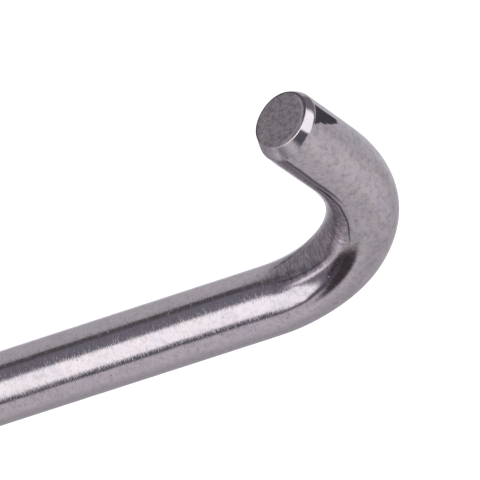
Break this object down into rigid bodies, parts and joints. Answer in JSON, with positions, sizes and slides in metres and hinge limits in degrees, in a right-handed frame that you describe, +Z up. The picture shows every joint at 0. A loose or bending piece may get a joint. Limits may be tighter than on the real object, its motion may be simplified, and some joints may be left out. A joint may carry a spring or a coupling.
{
  "type": "tent stake",
  "caption": "Hook-top tent stake bent from round steel bar: a long straight pointed shank to drive into the ground and a short turned-over arm that traps a guy line or peg loop.",
  "frame": {"origin": "on the shank's axis at the start of the bend, which is the ground line of a stake driven home", "axes": "+Z up along the shank, away from the point; the hook turns over towards +X in the XZ plane"},
  "size_m": [0.0209, 0.005, 0.23],
  "materials": {
    "bar": "satin, tumbled stainless steel with fine cross-wise polishing lines and small pits"
  },
  "bodies": {
    "root": {"stake": "bar"}
  },
  "joints": []
}
